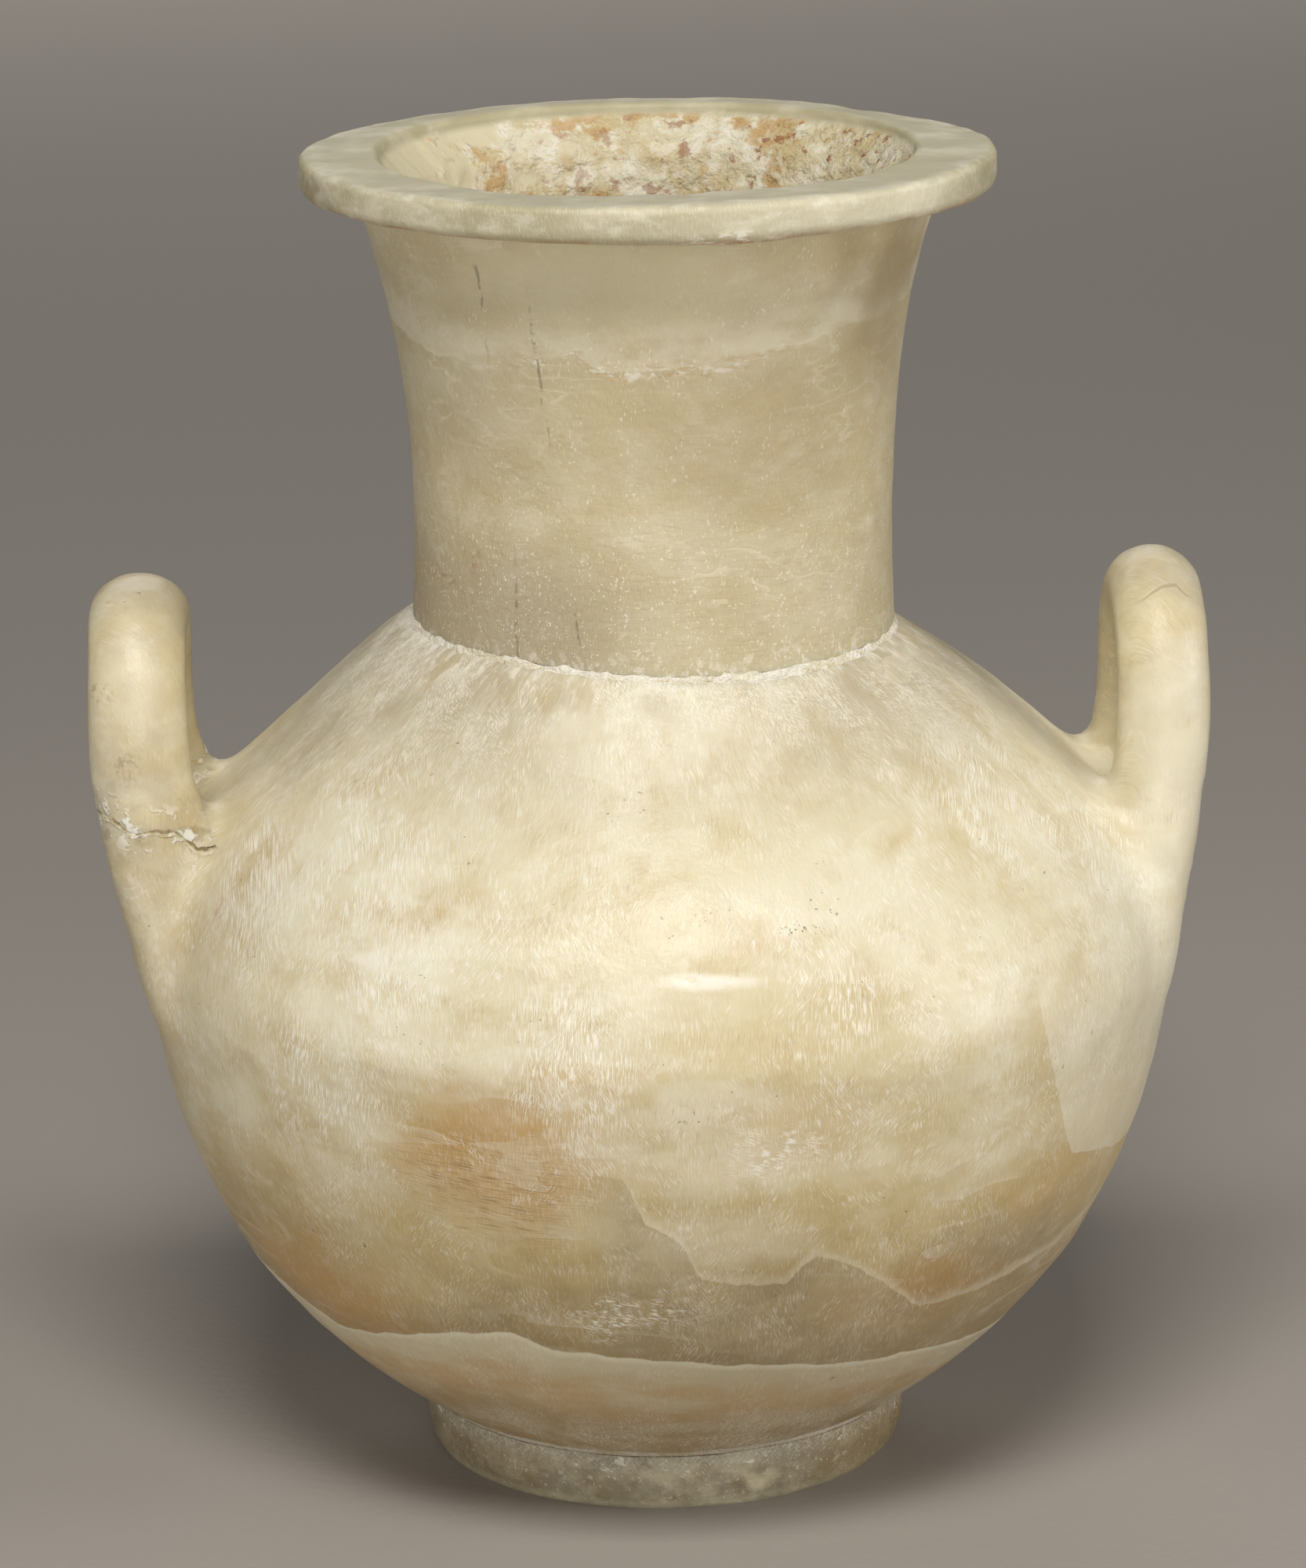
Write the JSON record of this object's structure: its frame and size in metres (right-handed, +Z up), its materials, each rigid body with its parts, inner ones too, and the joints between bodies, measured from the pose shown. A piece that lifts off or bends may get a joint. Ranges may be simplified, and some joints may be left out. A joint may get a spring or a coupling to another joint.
{
  "type": "ointment jar",
  "caption": "Stone ointment jar with a round belly, flared neck, flat rim and low foot. Upright loop handles stand on the shoulder, and the left loop is bedded back on its stumps.",
  "frame": {"origin": "on the table under the jar's axis, at the centre of the foot's flat underside", "axes": "+Z up the jar's axis to the mouth; the handles lie along X, with the whole one on +X and the mended one on -X; the picture looks along +Y and a little down"},
  "size_m": [0.2916, 0.273, 0.35],
  "materials": {
    "vessel_stone": "satin, rubbed smooth, pale cream with amber clouds",
    "neck_stone": "satin, rubbed smooth, tan with a pale wavy vein",
    "foot_stone": "matt, worn, grey-green",
    "loop_stone": "satin, rubbed smooth, warm cream",
    "gypsum": "matt, chalky white filler"
  },
  "bodies": {
    "root": {"foot": "foot_stone", "foot_bed": "gypsum", "vessel": "vessel_stone", "neck_bed": "gypsum", "neck": "neck_stone", "left_handle_loop": "loop_stone", "front_break_fill": "gypsum", "rear_break_fill": "gypsum"}
  },
  "joints": []
}
